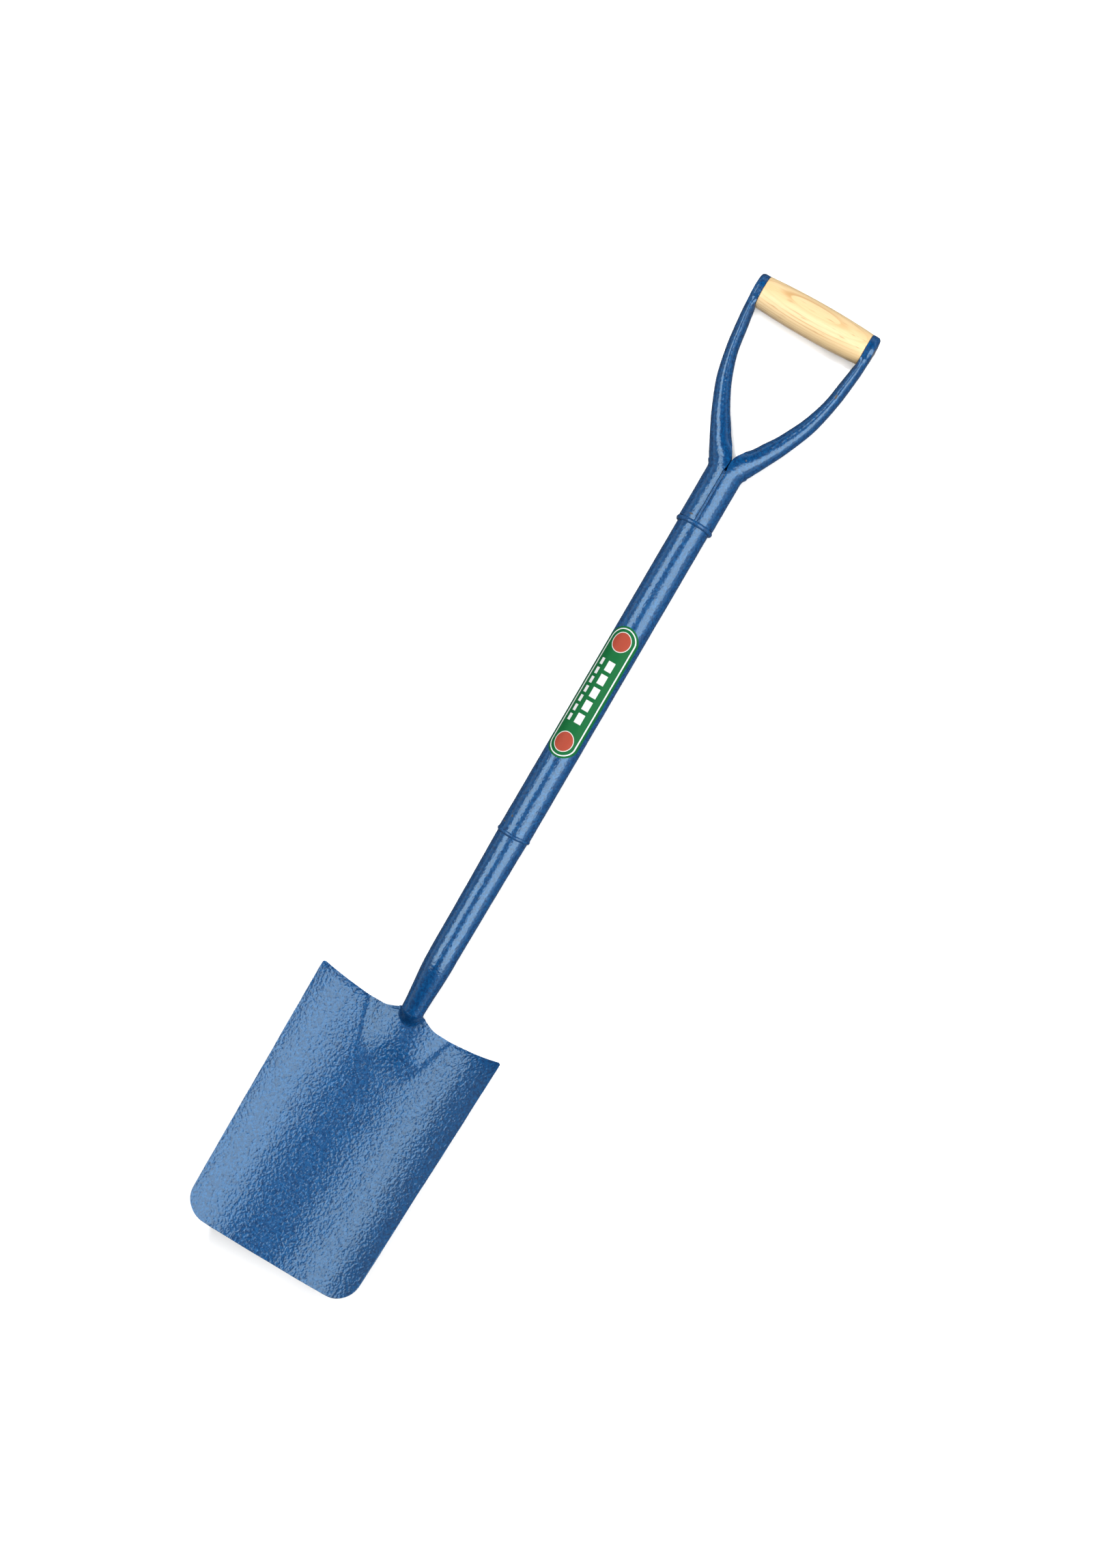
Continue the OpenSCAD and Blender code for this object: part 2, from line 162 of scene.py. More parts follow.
def piece(name, shape, material, node, relief=(), sharp=40, bevel=0.0):
    """Makes a Blender piece from points in the tool's frame and lets it stand for a CAD node.

    relief lists pairs of wave and height, in mm, of unevenness along the normals. The piece is kept
    inside the CAD model's box.
    """
    mesh = bpy.data.meshes.new(name)
    mesh.from_pydata([TOOL @ Vector(p) for p in shape[0]], [], shape[1])
    bm = bmesh.new()
    bm.from_mesh(mesh)
    bmesh.ops.remove_doubles(bm, verts=bm.verts, dist=2e-6)
    bmesh.ops.dissolve_degenerate(bm, edges=bm.edges, dist=1e-7)
    bmesh.ops.recalc_face_normals(bm, faces=bm.faces)
    for wave, height in relief:
        bm.normal_update()
        moves = [v.normal * noise.noise(v.co / (wave * 0.001)) * height * 0.001 for v in bm.verts]
        for v, d in zip(bm.verts, moves):
            v.co += d
    for v in bm.verts:
        v.co = [min(max(c, lo + BOX_GAP), hi - BOX_GAP) for c, lo, hi in zip(v.co, *cad_box)]
    bm.to_mesh(mesh)
    bm.free()
    for p in mesh.polygons:
        p.use_smooth = True
    mesh.set_sharp_from_angle(angle=math.radians(sharp))
    obj = bpy.data.objects.new(name, mesh)
    bpy.context.scene.collection.objects.link(obj)
    mesh.materials.append(material)
    if bevel:
        mod = obj.modifiers.new("edge", "BEVEL")
        mod.width, mod.segments, mod.limit_method = bevel * 0.001, 3, "ANGLE"
        mod.angle_limit = math.radians(50)
    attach(obj, "root")
    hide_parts(node)
    return obj


# ---------------------------------------------------------------- materials


class Tree:
    """Short way to write a node tree."""

    def __init__(self, name):
        self.material = bpy.data.materials.new(name)
        self.material.use_nodes = True
        self.tree = self.material.node_tree
        self.tree.nodes.clear()
        self.out = self.tree.nodes.new("ShaderNodeOutputMaterial")
        self.shader = self.node("ShaderNodeBsdfPrincipled")
        self.link(self.shader.outputs[0], self.out.inputs["Surface"])
        self.place = self.node("ShaderNodeTexCoord").outputs["Object"]

    def node(self, kind, **values):
        n = self.tree.nodes.new(kind)
        for k, v in values.items():
            setattr(n, k, v)
        return n

    def link(self, a, b):
        self.tree.links.new(a, b)

    def feed(self, socket, value):
        if isinstance(value, bpy.types.NodeSocket):
            self.link(value, socket)
        else:
            socket.default_value = value

    def math(self, op, *args, clamp=False):
        n = self.node("ShaderNodeMath", operation=op, use_clamp=clamp)
        for s, a in zip(n.inputs, args):
            self.feed(s, a)
        return n.outputs[0]

    def vector(self, op, a, b=None):
        n = self.node("ShaderNodeVectorMath", operation=op)
        self.feed(n.inputs[0], a)
        if b is not None:
            self.feed(n.inputs[1], b)
        return n.outputs["Value" if op == "LENGTH" else "Vector"]

    def noise(self, place, scale, detail=2.0, rough=0.5):
        """Noise between 0 and 1 with about scale waves to the metre."""
        n = self.node("ShaderNodeTexNoise")
        self.link(place, n.inputs["Vector"])
        n.inputs["Scale"].default_value = scale
        n.inputs["Detail"].default_value = detail
        n.inputs["Roughness"].default_value = rough
        return n.outputs["Fac"]

    def colour_noise(self, place, scale):
        """Three independent noises as a vector around zero."""
        n = self.node("ShaderNodeTexNoise")
        self.link(place, n.inputs["Vector"])
        n.inputs["Scale"].default_value = scale
        return self.vector("SUBTRACT", n.outputs["Color"], (0.5, 0.5, 0.5))

    def ramp(self, value, lo, hi, out_lo=0.0, out_hi=1.0):
        n = self.node("ShaderNodeMapRange", interpolation_type="SMOOTHSTEP")
        for s, a in zip(n.inputs, (value, lo, hi, out_lo, out_hi)):
            self.feed(s, a)
        return n.outputs[0]

    def mix(self, factor, a, b):
        n = self.node("ShaderNodeMix", data_type="RGBA")
        self.feed(n.inputs["Factor"], factor)
        self.feed(n.inputs[6], a if isinstance(a, bpy.types.NodeSocket) else (*a, 1))
        self.feed(n.inputs[7], b if isinstance(b, bpy.types.NodeSocket) else (*b, 1))
        return n.outputs[2]

    def bump(self, height, distance, strength=1.0):
        n = self.node("ShaderNodeBump")
        n.inputs["Distance"].default_value = distance
        n.inputs["Strength"].default_value = strength
        self.link(height, n.inputs["Height"])
        self.link(n.outputs[0], self.shader.inputs["Normal"])

    def set(self, **sockets):
        for k, v in sockets.items():
            socket = self.shader.inputs[k.replace("_", " ")]
            if isinstance(v, tuple) and len(v) == 3:
                v = (*v, 1)
            self.feed(socket, v)


def chip_mask(t, chips):
    """1 inside the chips, each (centre in the tool's frame, radii in mm), with ragged edges."""
    ragged = t.math("MULTIPLY", t.math("SUBTRACT", t.noise(t.place, 900, 3), 0.5), 1.6)
    total = None
    for where, radii in chips:
        offset = t.vector("SUBTRACT", t.place, tuple(TOOL @ Vector(where)))
        size = tuple(1000.0 / r for r in radii)
        far = t.vector("LENGTH", t.vector("MULTIPLY", offset, size))
        inside = t.ramp(t.math("ADD", far, ragged), 1.05, 0.85)
        total = inside if total is None else t.math("MAXIMUM", total, inside)
    return total


def enamel(name, grain=1.0, depth=1.0, gloss=1.6, satin=0.0, chips=()):
    """Blue hammered enamel: a mottled blue film, with a clear gloss, that lies in small wrinkles.

    grain makes the wrinkles finer, depth makes them deeper, satin makes the gloss duller.
    """
    t = Tree(name)
    stray = t.vector("MULTIPLY", t.colour_noise(t.place, 300 * grain), (0.0016,) * 3)
    wander = t.vector("ADD", t.place, stray)
    worms = t.math("ADD", t.math("MULTIPLY", t.noise(wander, 360 * grain, 0), 0.36),
                   t.math("MULTIPLY", t.noise(wander, 620 * grain, 0), 0.23))
    fine = t.noise(t.place, 1100 * grain, 1, 0.5)
    broad = t.noise(t.place, 120, 2)
    height = t.math("ADD", worms, t.math("MULTIPLY", fine, 0.06))
    height = t.math("ADD", height, t.math("MULTIPLY", broad, 0.22))
    flake = t.noise(t.place, 360 * grain, 3, 0.85)
    tone = t.mix(t.ramp(flake, 0.36, 0.67), (0.001, 0.017, 0.066), (0.001, 0.054, 0.168))
    tone = t.mix(t.ramp(broad, 0.3, 0.75, 0.0, 0.35), tone, (0.001, 0.035, 0.118))
    rough = t.ramp(fine, 0.3, 0.7, 0.16 + satin, 0.24 + satin)
    if chips:
        bare = chip_mask(t, chips)
        tone = t.mix(bare, tone, (0.045, 0.030, 0.022))
        rough = t.math("MAXIMUM", rough, t.math("MULTIPLY", bare, 0.7))
        height = t.math("SUBTRACT", height, t.math("MULTIPLY", bare, 0.2))
    t.set(Base_Color=tone, Metallic=0.06, Roughness=rough, IOR=gloss, Specular_Tint=(0.68, 0.92, 1.0))
    t.bump(height, 0.001 * depth)
    return t.material


def wood(name):
    """Pale turned wood: growth layers cut by the barrel into long ovals, with fine brown pores."""
    t = Tree(name)
    p = t.vector("SUBTRACT", t.place, tuple(centre("grip")))
    sep = t.node("ShaderNodeSeparateXYZ")
    t.link(p, sep.inputs[0])
    x, y, z = sep.outputs
    # Height through the growth layers, in mm; they lean 24 degrees and dip away from the middle
    lean = math.radians(24)
    layer = t.math("ADD", t.math("MULTIPLY", x, -1000 * math.sin(lean)),
                   t.math("MULTIPLY", z, 1000 * math.cos(lean)))
    middle_y, dip = -0.006, 0.00054
    y_mm = t.math("MULTIPLY", t.math("SUBTRACT", y, middle_y), 1000)
    layer = t.math("SUBTRACT", layer, t.math("MULTIPLY", t.math("MULTIPLY", y_mm, y_mm), dip))
    long_way = t.vector("MULTIPLY", p, (1.0, 0.12, 1.0))
    sway = t.noise(long_way, 55, 2, 0.5)
    layer = t.math("ADD", layer, t.math("MULTIPLY", t.math("SUBTRACT", sway, 0.5), 0.9))
    rings_per_mm, first_ring = 0.36, -22.1
    ring = t.math("FRACT", t.math("MULTIPLY", t.math("SUBTRACT", layer, first_ring), rings_per_mm))
    line = t.math("MULTIPLY", t.ramp(ring, 0.5, 0.92), t.ramp(ring, 1.0, 0.95))
    line = t.math("MULTIPLY", line, t.ramp(t.noise(long_way, 90, 2), 0.35, 0.62, 0.25, 1.0))
    pores = t.noise(t.vector("MULTIPLY", p, (1.0, 0.055, 1.0)), 800, 2, 0.6)
    patches = t.ramp(t.noise(long_way, 60, 2), 0.38, 0.6, 0.25, 1.0)
    dashes = t.math("MULTIPLY", t.ramp(pores, 0.59, 0.72), patches)
    fibre = t.noise(t.vector("MULTIPLY", p, (1.0, 0.03, 1.0)), 1300, 3, 0.6)
    cloud = t.noise(long_way, 40, 3)
    tone = t.mix(t.ramp(cloud, 0.3, 0.7), (0.48, 0.345, 0.175), (0.55, 0.425, 0.250))
    tone = t.mix(t.ramp(fibre, 0.35, 0.7, 0.0, 0.5), tone, (0.48, 0.33, 0.155))
    tone = t.mix(t.math("MULTIPLY", line, 0.8), tone, (0.36, 0.20, 0.07))
    tone = t.mix(t.math("MULTIPLY", dashes, 0.75), tone, (0.27, 0.135, 0.047))
    t.set(Base_Color=tone, Roughness=t.ramp(fibre, 0.3, 0.7, 0.36, 0.5), IOR=1.48)
    t.shader.inputs["Coat Weight"].default_value = 0.2
    t.shader.inputs["Coat Roughness"].default_value = 0.25
    t.bump(t.math("SUBTRACT", t.math("MULTIPLY", fibre, 0.5), dashes), 0.00008, 0.7)
    return t.material


def bright_steel(name):
    t = Tree(name)
    spun = t.noise(t.place, 700, 3, 0.6)
    t.set(Base_Color=t.mix(spun, (0.50, 0.50, 0.52), (0.72, 0.72, 0.74)), Metallic=1.0,
          Roughness=t.ramp(spun, 0.3, 0.7, 0.22, 0.42))
    t.bump(spun, 0.00012, 0.6)
    return t.material


def label_film(name):
    """Green film with a pale border, two plain red discs and plain pale bars, with no words."""
    t = Tree(name)
    uv = t.node("ShaderNodeUVMap", uv_map="plan")
    sep = t.node("ShaderNodeSeparateXYZ")
    t.link(uv.outputs[0], sep.inputs[0])
    a = t.math("MULTIPLY", t.math("SUBTRACT", sep.outputs[0], 0.5), LABEL_LEN)
    b = t.math("MULTIPLY", t.math("SUBTRACT", sep.outputs[1], 0.5), LABEL_LEN)
    end_r = SHAFT_R * math.sin(LABEL_HALF)
    half = LABEL_LEN / 2 - end_r
    border_out, border_in = 1.75, 2.95
    disc_places, disc_r, disc_rim_r, squash = (-52.0, 51.8), 9.2, 9.9, 1.13
    soft = 0.12

    def length(x, y):
        return t.math("SQRT", t.math("ADD", t.math("MULTIPLY", x, x), t.math("MULTIPLY", y, y)))

    def near(x, y, radius):
        """1 inside a disc at (x, y), which looks narrower as it follows the tube."""
        far = length(t.math("SUBTRACT", a, x), t.math("MULTIPLY", t.math("SUBTRACT", b, y), squash))
        return t.ramp(far, radius + soft, radius - soft)

    def bar(x, y, w, h):
        """1 inside an upright box of w by h mm with its middle at (x, y)."""
        across = t.ramp(t.math("ABSOLUTE", t.math("SUBTRACT", a, x)), w / 2 + soft, w / 2 - soft)
        up = t.ramp(t.math("ABSOLUTE", t.math("SUBTRACT", b, y)), h / 2 + soft, h / 2 - soft)
        return t.math("MULTIPLY", across, up)

    over = t.math("MAXIMUM", t.math("SUBTRACT", t.math("ABSOLUTE", a), half), 0.0)
    edge = t.math("SUBTRACT", end_r, length(over, b))
    keyline = t.math("MULTIPLY", t.ramp(edge, border_out, border_out + 0.2),
                     t.ramp(edge, border_in, border_in - 0.2))
    tone = t.mix(t.noise(t.place, 300, 2), (0.000, 0.064, 0.015), (0.000, 0.072, 0.018))
    tone = t.mix(keyline, tone, (0.44, 0.46, 0.45))
    for x in disc_places:
        tone = t.mix(near(x, 0.0, disc_rim_r), tone, (0.42, 0.42, 0.40))
        tone = t.mix(near(x, 0.0, disc_r), tone, (0.22, 0.034, 0.018))
    for k in range(5):
        tone = t.mix(bar(13.6 * (k - 2), 2.1, 9.8, 6.6), tone, (0.46, 0.46, 0.46))
    for k in range(7):
        tone = t.mix(bar(9.7 * (k - 3), -7.0, 6.6, 2.8), tone, (0.42, 0.42, 0.42))
    t.set(Base_Color=tone, Roughness=0.5, IOR=1.2)
    t.bump(t.noise(t.place, 160, 2), 0.00008, 0.5)
    return t.material


def floor_paper(name):
    t = Tree(name)
    t.set(Base_Color=t.mix(t.noise(t.place, 2, 2), (0.88, 0.88, 0.88), (0.90, 0.90, 0.90)), Roughness=0.9)
    t.shader.inputs["Specular IOR Level"].default_value = 0.1
    return t.material


# ---------------------------------------------------------------- blade and neck


def half_w(t):
    return mix(TOP_W, TIP_W, t / (BLADE_LEN - TIP_CORNER)) / 2


def face_h(t, v):
    """Height of the blade's face: a dish across it, and the frog, a ridge that falls away down it."""
    x = v / half_w(t)
    dish = mix(DISH_TOP, DISH_TIP, t / BLADE_LEN) * (0.7 * x * x + 0.3 * x ** 4)
    f = max(0.0, 1 - max(t, 0.0) / FROG_LEN)
    b = mix(FROG_TIP_W, FROG_HALF_W, f)
    s = min(1.0, abs(v) / b)
    side = 1 - s * s / FROG_FILLET if s < FROG_FILLET else (1 - s) ** 2 / (1 - FROG_FILLET)
    return dish + FROG_H * f * smooth(f * 1.6) * side


def top_line(v):
    """Top edge of the blade: a shallow bow, with a tang that runs up under the neck."""
    tang = TANG_H * max(0.0, 1 - max(0.0, abs(v) - TANG_FLAT) / (TANG_W - TANG_FLAT)) ** 1.5
    return TOP_BOW * (1 - (2 * v / TOP_W) ** 2) - TOP_RISE - tang


def on_blade(t, v, h):
    """Point at the place t down the blade, v across it and h above it, in the tool's frame."""
    return Vector((BLADE_X + t * math.cos(LIFT) - h * math.sin(LIFT), v,
                   BLADE_Z + t * math.sin(LIFT) + h * math.cos(LIFT)))


def corner_drop(gap, r):
    """How far a corner of radius r takes the edge back, at the distance gap from the side."""
    return 0.0 if gap >= r else r - math.sqrt(max(0.0, r * r - (r - gap) ** 2))


def blade_columns():
    """Places of the mesh's columns, from -1 to 1 across the blade, closer together at the corners."""
    corner = 1 - 2 * TIP_CORNER / TIP_W
    top = 2 * TOP_CORNER / TOP_W
    half = [corner * i / 60 for i in range(60)]
    half += [corner + (1 - corner) * math.sin(math.radians(a)) for a in range(0, 80, 5)]
    half += [1 - top * (1 - math.sin(math.radians(a))) for a in (0, 20, 40, 60, 75, 90)]
    half = sorted(set(round(h, 6) for h in half))
    return [-h for h in half[:0:-1]] + half


def shaped_h(t, v):
    """Height of the face with the signs of use: a rolled top edge and a shallow dent at the left."""
    roll_w, roll_from, roll_depth = 9, 40, 1.1
    dent_v, dent_t, dent_r, dent_depth = -84, 105, 24, 0.7
    roll = max(0.0, 1 - (t - top_line(v)) / roll_w) ** 2 * smooth((abs(v) - roll_from) / 18)
    dent = math.exp(-((v - dent_v) ** 2 + (t - dent_t) ** 2) / dent_r ** 2)
    return face_h(t, v) - roll_depth * roll - dent_depth * dent


def blade(material):
    cols = blade_columns()
    near = 0.12  # share of the length, at the top edge, with closer rows
    rows = [i / 40 * near for i in range(40)] + [near + (1 - near) * i / 110 for i in range(111)]
    m, n = len(cols), len(rows)
    top, back = [], []
    for f in rows:
        for c in cols:
            t0 = corner_drop((1 - abs(c)) * TOP_W / 2, TOP_CORNER) + top_line(c * TOP_W / 2)
            t1 = BLADE_LEN - corner_drop((1 - abs(c)) * TIP_W / 2, TIP_CORNER)
            t = mix(t0, t1, f)
            v = c * half_w(t)
            h = shaped_h(t, v)
            top.append(on_blade(t, v, h))
            back.append(on_blade(t, v, h - BLADE_T))
    base = m * n
    faces = [q for i in range(n - 1) for q in strip(i * m, (i + 1) * m, m, False)]
    faces += [q for i in range(n - 1) for q in strip(base + i * m, base + (i + 1) * m, m, False, True)]
    rim = list(range(m)) + [i * m + m - 1 for i in range(1, n)]
    rim += [(n - 1) * m + j for j in range(m - 2, -1, -1)] + [i * m for i in range(n - 2, 0, -1)]
    for a, b in zip(rim, rim[1:] + rim[:1]):
        faces.append((a, base + a, base + b, b))
    return piece("blade_plate", (top + back, faces), material, "blade",
                 relief=((48, 0.55), (22, 0.25), (8, 0.08)), bevel=0.55)


def neck_lean(x):
    """Angle of the neck's line at x, downwards from the shaft's line."""
    if x <= BEND_X:
        return 0.0
    return NECK_LEAN if x >= BEND_X + BEND_R * math.sin(NECK_LEAN) else math.asin((x - BEND_X) / BEND_R)


def neck_z(x):
    """Height of the neck's line at x: straight, then an arc, then straight again."""
    end = BEND_X + BEND_R * math.sin(NECK_LEAN)
    if x >= end:
        return -BEND_R * (1 - math.cos(NECK_LEAN)) - (x - end) * math.tan(NECK_LEAN)
    return -BEND_R * (1 - math.cos(neck_lean(x)))


def neck_r(x):
    f = min(1.0, (x - SHAFT_END) / (TAPER_X - SHAFT_END))
    body = mix(NECK_TOP_R, NECK_BEND_R, f * (1.5 - 0.5 * f))
    return mix(body, NECK_END_R, smooth((x - TAPER_X) / TAPER_LEN))


def neck_ring(x, r, n):
    a = neck_lean(x)
    out = []
    for i in range(n):
        q = 2 * math.pi * i / n
        out.append(Vector((x + r * math.sin(q) * math.sin(a), r * math.cos(q),
                           neck_z(x) + r * math.sin(q) * math.cos(a))))
    return out


def neck(material):
    n = 96
    xs = [SHAFT_END - 20 + 4 * i for i in range(52)] + [NECK_END]
    outer = [neck_ring(x, neck_r(max(x, SHAFT_END)) - (0.7 if x < SHAFT_END else 0), n) for x in xs]
    inner = [neck_ring(x, neck_r(max(x, SHAFT_END)) - NECK_WALL - 0.7, n) for x in xs]
    return piece("neck", loft(outer + inner[::-1] + [outer[0]], caps=(False, False)), material,
                 "neck_tube", relief=((14, 0.10),))


def hermite(p, tp, q, tq, f):
    """Curve from p to q that leaves along tp and arrives along tq."""
    return ((2 * f ** 3 - 3 * f * f + 1) * p + (f ** 3 - 2 * f * f + f) * tp
            + (3 * f * f - 2 * f ** 3) * q + (f ** 3 - f * f) * tq)


def flare_foot(q, size, h):
    """Point of the flare's foot at the angle q; size 1 is its outline and size 0 its middle."""
    face = math.sin(q)
    t = WELD_MID_T + size * face * (WELD_REACH if face > 0 else WELD_BACK)
    v = size * WELD_HALF_W * math.cos(q)
    return on_blade(t, v, face_h(t, v) + h)


def neck_flare(material):
    """The weld that closes the neck's end and flares out on to the blade."""
    n, steps = 96, 22
    start = neck_ring(NECK_END - 1.5, neck_r(NECK_END - 1.5) + 0.02, n)
    along_neck = Vector((math.cos(NECK_LEAN), 0, -math.sin(NECK_LEAN)))
    lines = []
    for i in range(n):
        q = 2 * math.pi * i / n
        face = max(0.0, math.sin(q))
        foot = flare_foot(q, 1.0, -0.05)
        pull = (foot - start[i]).length
        over = Vector((math.cos(LIFT) * face, math.cos(q), math.sin(LIFT) * face))
        lines.append([hermite(start[i], along_neck * pull * mix(0.3, 1.0, face), foot, over * pull, k / steps)
                      for k in range(steps + 1)])
    rings = [[line[k] for line in lines] for k in range(steps + 1)]
    for f in (0.75, 0.5, 0.25):
        rings.append([flare_foot(2 * math.pi * i / n, f, -0.6) for i in range(n)])
    return piece("neck_flare", loft(rings), material, "neck_weld",
                 relief=((6, 0.25),), sharp=50)


def edge_bead(material):
    rings = []
    for k in range(-40, 41):
        v = k * EDGE_BEAD_HALF / 40
        r = EDGE_BEAD_R * math.sqrt(max(0.05, 1 - (k / 40) ** 6)) * (1 + 0.08 * math.sin(k * 1.9))
        t = top_line(v)
        rings.append([on_blade(t + r * (math.cos(q) + 1), v, face_h(t, v) - BLADE_T + r * (math.sin(q) + 0.2))
                      for q in (2 * math.pi * i / 20 for i in range(20))])
    return piece("edge_bead", loft(rings), material, "edge_weld")


# ---------------------------------------------------------------- shaft, beads and label


def bead_ring(name, material, node, x0, low_r, bead_r, centre_r, bow, seed):
    """A weld bead round the tube; it bows along the tool at the face, and its inside is cut off at low_r."""
    n, m = 144, 20

    def wave(q, k):
        return noise.noise(Vector((math.cos(q) * 2.2, math.sin(q) * 2.2, seed + k)))

    rings = []
    for i in range(n):
        q = 2 * math.pi * i / n
        r = bead_r * (1 + 0.14 * wave(q, 0))
        x = x0 + bow * max(0.0, math.cos(q)) + 0.5 * wave(q, 5)
        ring = []
        for j in range(m):
            a = 2 * math.pi * j / m
            rr = max(low_r, centre_r + r * math.sin(a))
            ring.append((x + r * 0.95 * math.cos(a), rr * math.sin(q), rr * math.cos(q)))
        rings.append(ring)
    rings.append(rings[0])
    return piece(name, loft(rings, caps=(False, False)), material, node,
                 relief=((3.5, 0.16),), sharp=60)


def shaft(material):
    edge = 0.3
    profile = [(SHAFT_START, SHAFT_R - SHAFT_WALL), (SHAFT_START, SHAFT_R - edge)]
    profile.append((SHAFT_START + edge, SHAFT_R))
    x = SHAFT_START + 5
    while x < SHAFT_END - 3:
        profile.append((x, SHAFT_R))
        x += 5
    profile += [(SHAFT_END - edge, SHAFT_R), (SHAFT_END, SHAFT_R - edge)]
    profile.append((SHAFT_END, SHAFT_R - SHAFT_WALL))
    return piece("shaft", closed_tube(profile), material, "shaft_tube", relief=((18, 0.10),))


def label(material):
    """A thin film with round ends, which follows the shaft."""
    n, m, thick = 150, 60, 0.15
    end_r = SHAFT_R * math.sin(LABEL_HALF)
    half = LABEL_LEN / 2 - end_r
    grid, plan = [], []
    for i in range(n + 1):
        f = -math.cos(math.pi * i / n)
        a = f * LABEL_LEN / 2
        over = max(0.0, abs(a) - half)
        width = math.sqrt(max(0.0, end_r ** 2 - over ** 2)) + 0.01
        row = []
        for j in range(m + 1):
            b = width * (2 * j / m - 1)
            q = math.asin(max(-1.0, min(1.0, b / SHAFT_R))) - LABEL_TURN
            rim = min(1.0, (width - abs(b)) / 0.15) if width > 0.2 else 0.0
            r = SHAFT_R + 0.11 + thick * 0.45 * rim
            row.append((LABEL_X + a, r * math.sin(q), r * math.cos(q)))
            plan.append((a / LABEL_LEN + 0.5, b / LABEL_LEN + 0.5))
        grid.append(row)
    verts, faces = loft(grid, wrap=False, caps=(False, False))
    inner = []
    for x, y, z in verts:
        far = math.hypot(y, z)
        inner.append((x, y * (SHAFT_R - 0.2) / far, z * (SHAFT_R - 0.2) / far))
    w, base = m + 1, len(verts)
    rim = list(range(w)) + [i * w + m for i in range(1, n + 1)]
    rim += [n * w + j for j in range(m - 1, -1, -1)] + [i * w for i in range(n - 1, 0, -1)]
    faces += [tuple(base + k for k in q[::-1]) for q in faces]
    faces += [(a, base + a, base + b, b) for a, b in zip(rim, rim[1:] + rim[:1])]
    mesh = bpy.data.meshes.new("label_film")
    mesh.from_pydata([TOOL @ Vector(p) for p in verts + inner], [], faces)
    layer = mesh.uv_layers.new(name="plan")
    for loop in mesh.loops:
        layer.data[loop.index].uv = plan[loop.vertex_index % base]
    bm = bmesh.new()
    bm.from_mesh(mesh)
    bmesh.ops.remove_doubles(bm, verts=bm.verts, dist=1e-6)
    bmesh.ops.recalc_face_normals(bm, faces=bm.faces)
    bm.to_mesh(mesh)
    bm.free()
    for p in mesh.polygons:
        p.use_smooth = True
    mesh.set_sharp_from_angle(angle=math.radians(50))
    mesh.materials.append(material)
    obj = bpy.data.objects.new("label_film", mesh)
    bpy.context.scene.collection.objects.link(obj)
    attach(obj, "root")
    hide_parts("label")
    return obj


# ---------------------------------------------------------------- handle

# Place along the tool, centre of the section, half width, half depth, half of the angle it wraps
ARM = (
    (10, 57.6, 5.0, 11.9, 180),
    (38, 54.9, 5.8, 11.3, 174),
    (63, 51.1, 6.1, 10.8, 174),
    (88, 43.9, 7.4, 10.2, 174),
    (113, 32.6, 8.6, 10.0, 174),
    (125.4, 25.6, 9.6, 10.6, 172),
    (138, 18.2, 10.5, 12.2, 162),
    (144.5, 12.7, 12.7, 13.7, 136),
    (151, 6.3, 15.3, 15.2, 113),
    (165, 0, SOCKET_R, SOCKET_R, 84.6),
)
CAVITY_X = 18.0  # the ear is solid up to here


def arm_point(x, q, inset):
    """Point at the angle q of the arm's section at x, inset mm inside its outer face."""
    slope = along(ARM, x + 0.5, 1) - along(ARM, x - 0.5, 1)
    turn = math.atan(slope) * smooth((ARM[-1][0] - x) / 22)
    out = (along(ARM, x, 2) - inset) * math.cos(q)
    return Vector((x - out * math.sin(turn), along(ARM, x, 1) + out * math.cos(turn),
                   (along(ARM, x, 3) - inset) * math.sin(q)))


def ear_point(x, q):
    """Point of the ear's disc, cut square to X at x, on a ring that runs like the arm's."""
    xd = min(x, 10.0)
    tall = math.sqrt(max(0.0, EAR_R ** 2 - xd ** 2))
    c, s = math.cos(q), math.sin(q)
    k = 1 / max(abs(c), abs(s))
    up = tall * s * k
    rho = math.hypot(xd, up)
    flat = EAR_R - EAR_ROUND
    outer = EAR_OUT - (EAR_ROUND - math.sqrt(max(0.0, EAR_ROUND ** 2 - max(0.0, rho - flat) ** 2)))
    return Vector((x, mix(EAR_IN, outer, (c * k + 1) / 2), up))


def handle_point(x, q, inset=0.0):
    """Point of a half of the handle: on the ear's disc at first, then on the arm that grows from it."""
    merge_x, merge_len, ear_end = 7, 15, 24
    flat_r, flat_blend = 16.4, 0.7  # the ear is flat inside this radius, where it faces the grip
    p = arm_point(x, q, inset)
    if x < ear_end and not inset:
        p = ear_point(x, q).lerp(p, smooth((x - merge_x) / merge_len))
        clear = smooth((flat_r - math.hypot(p.x, p.z)) / flat_blend)
        if p.y < EAR_IN:
            p.y = mix(p.y, EAR_IN, clear)
        p.y = min(p.y, EAR_OUT)
    return p


def wrap_at(x):
    """Half of the angle that the sheet wraps round at x."""
    closed = math.radians(180)
    if x <= CAVITY_X:
        return closed
    if x > ARM[1][0]:
        return math.radians(along(ARM, x, 4))
    return mix(closed, math.radians(ARM[1][4]), smooth((x - CAVITY_X) / (ARM[1][0] - CAVITY_X)))


